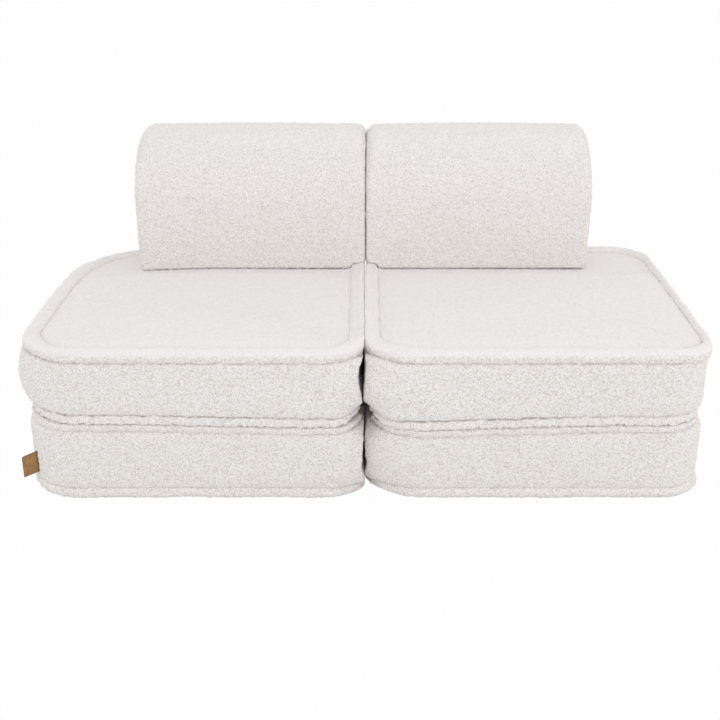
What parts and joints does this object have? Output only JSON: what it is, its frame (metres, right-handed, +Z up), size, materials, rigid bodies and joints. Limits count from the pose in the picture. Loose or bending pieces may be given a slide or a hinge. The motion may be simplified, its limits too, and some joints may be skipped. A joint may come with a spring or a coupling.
{
  "type": "play sofa",
  "caption": "Modular foam play sofa: square floor cushions stacked in pairs with rolled edges, and rounded backrest blocks standing on the rear of the seats.",
  "frame": {"origin": "on the floor under the middle of the whole object's box, tag and backrest overhang included", "axes": "+Z up, -Y out of the sofa's front, +X along its length to the right of someone facing it"},
  "size_m": [1.213, 0.628, 0.5416],
  "materials": {
    "boucle": "matte",
    "foam": "matte",
    "zip_tape": "matte",
    "slider_metal": "satin",
    "tag_leather": "matte"
  },
  "bodies": {
    "left_base": {"left_base_foam_core": "foam", "left_base_top_panel": "boucle", "left_base_bottom_panel": "boucle", "left_base_top_roll": "boucle", "left_base_bottom_roll": "boucle", "left_base_side_band": "boucle", "left_base_zip_tape": "zip_tape", "leather_tag": "tag_leather"},
    "right_base": {"right_base_foam_core": "foam", "right_base_top_panel": "boucle", "right_base_bottom_panel": "boucle", "right_base_top_roll": "boucle", "right_base_bottom_roll": "boucle", "right_base_side_band": "boucle", "right_base_zip_tape": "zip_tape"},
    "left_seat": {"left_seat_foam_core": "foam", "left_seat_top_panel": "boucle", "left_seat_bottom_panel": "boucle", "left_seat_top_roll": "boucle", "left_seat_bottom_roll": "boucle", "left_seat_side_band": "boucle", "left_seat_zip_tape": "zip_tape"},
    "right_seat": {"right_seat_foam_core": "foam", "right_seat_top_panel": "boucle", "right_seat_bottom_panel": "boucle", "right_seat_top_roll": "boucle", "right_seat_bottom_roll": "boucle", "right_seat_side_band": "boucle", "right_seat_zip_tape": "zip_tape"},
    "left_backrest": {"left_backrest_foam_core": "foam", "left_backrest_wrap_cover": "boucle", "left_backrest_left_end_panel": "boucle", "left_backrest_right_end_panel": "boucle", "left_backrest_zip_tape": "zip_tape"},
    "right_backrest": {"right_backrest_foam_core": "foam", "right_backrest_wrap_cover": "boucle", "right_backrest_left_end_panel": "boucle", "right_backrest_right_end_panel": "boucle", "right_backrest_zip_tape": "zip_tape"},
    "left_base_slider": {"left_base_zip_slider": "slider_metal"},
    "right_base_slider": {"right_base_zip_slider": "slider_metal"},
    "left_seat_slider": {"left_seat_zip_slider": "slider_metal"},
    "right_seat_slider": {"right_seat_zip_slider": "slider_metal"},
    "left_backrest_slider": {"left_backrest_zip_slider": "slider_metal"},
    "right_backrest_slider": {"right_backrest_zip_slider": "slider_metal"}
  },
  "joints": [
    {"name": "right_stack_pull", "type": "slide", "parent": "left_base", "child": "right_base", "axis": [1, 0, 0], "range_m": [0, 0.65]},
    {"name": "left_seat_lift", "type": "slide", "parent": "left_base", "child": "left_seat", "axis": [0, 0, 1], "range_m": [0, 0.3]},
    {"name": "right_seat_lift", "type": "slide", "parent": "right_base", "child": "right_seat", "axis": [0, 0, 1], "range_m": [0, 0.3]},
    {"name": "left_backrest_lift", "type": "slide", "parent": "left_seat", "child": "left_backrest", "axis": [0, 0, 1], "range_m": [0, 0.3]},
    {"name": "right_backrest_lift", "type": "slide", "parent": "right_seat", "child": "right_backrest", "axis": [0, 0, 1], "range_m": [0, 0.3]},
    {"name": "left_base_zip", "type": "slide", "parent": "left_base", "child": "left_base_slider", "axis": [-1, 0, 0], "range_m": [0, 0.376]},
    {"name": "right_base_zip", "type": "slide", "parent": "right_base", "child": "right_base_slider", "axis": [-1, 0, 0], "range_m": [0, 0.376]},
    {"name": "left_seat_zip", "type": "slide", "parent": "left_seat", "child": "left_seat_slider", "axis": [-1, 0, 0], "range_m": [0, 0.376]},
    {"name": "right_seat_zip", "type": "slide", "parent": "right_seat", "child": "right_seat_slider", "axis": [-1, 0, 0], "range_m": [0, 0.376]},
    {"name": "left_backrest_zip", "type": "slide", "parent": "left_backrest", "child": "left_backrest_slider", "axis": [-1, 0, 0], "range_m": [0, 0.316]},
    {"name": "right_backrest_zip", "type": "slide", "parent": "right_backrest", "child": "right_backrest_slider", "axis": [-1, 0, 0], "range_m": [0, 0.316]}
  ]
}
